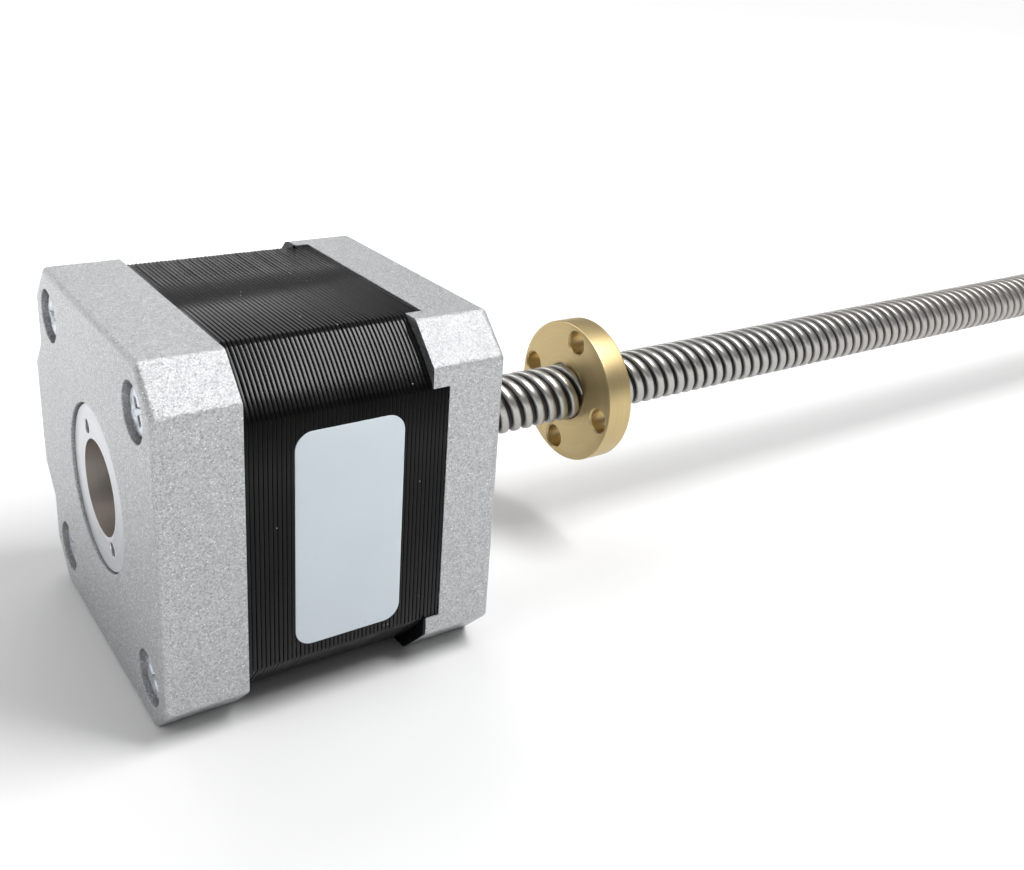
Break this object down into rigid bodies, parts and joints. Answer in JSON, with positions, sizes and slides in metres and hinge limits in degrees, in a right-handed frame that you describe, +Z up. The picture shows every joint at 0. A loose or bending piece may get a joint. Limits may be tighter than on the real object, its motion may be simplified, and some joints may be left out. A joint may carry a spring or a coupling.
{
  "type": "lead screw stepper motor",
  "caption": "Square stepper motor whose shaft is a long multi-start lead screw carrying a flanged brass nut; cast covers, black lamination stack, bare label and rear lead socket.",
  "frame": {"origin": "centre of the front mounting face, on the screw's axis", "axes": "+X along the screw to its free end, +Z up, -Y the side with the label"},
  "size_m": [0.34, 0.0457, 0.0424],
  "materials": {
    "cast_aluminium": "sandblasted die casting",
    "black_stack": "satin black over laminations",
    "insulator": "moulded nylon",
    "copper_wire": "enamelled copper",
    "bearing_steel": "ground",
    "machined_ring": "turned bright",
    "zinc_screws": "zinc plated",
    "rotor_steel": "stamped sheet",
    "magnet": "plated",
    "spacer_steel": "turned",
    "screw_steel": "rolled thread, bright",
    "nut_brass": "turned bright",
    "socket_plastic": "moulded nylon",
    "pin_metal": "tinned",
    "label": "bare satin sticker"
  },
  "bodies": {
    "motor": {"rear_cover": "cast_aluminium", "front_cover": "cast_aluminium", "stator_stack": "black_stack", "rear_insulator": "insulator", "front_insulator": "insulator", "phase_a_coils": "copper_wire", "phase_b_coils": "copper_wire", "rear_bearing_outer_ring": "bearing_steel", "front_bearing_outer_ring": "bearing_steel", "bearing_plug": "machined_ring", "tie_screws": "zinc_screws", "lead_socket": "socket_plastic", "socket_pins": "pin_metal", "label_plate": "label"},
    "rotor": {"lead_screw": "screw_steel", "rotor_core_rear": "rotor_steel", "rotor_core_front": "rotor_steel", "rotor_magnet": "magnet", "rear_spacer": "spacer_steel", "front_spacer": "spacer_steel", "rear_bearing_inner_ring": "bearing_steel", "front_bearing_inner_ring": "bearing_steel"},
    "nut": {"brass_nut": "nut_brass"}
  },
  "joints": [
    {"name": "rotor_spin", "type": "hinge", "parent": "motor", "child": "rotor", "pos_m": [0, 0, 0], "axis": [1, 0, 0], "range_deg": [-11880, 900]},
    {"name": "nut_travel", "type": "slide", "parent": "motor", "child": "nut", "axis": [1, 0, 0], "range_m": [-0.02, 0.264]}
  ],
  "couplings": [
    {"joint": "nut_travel", "follows": "rotor_spin", "m_per_rad": -0.0012732}
  ]
}
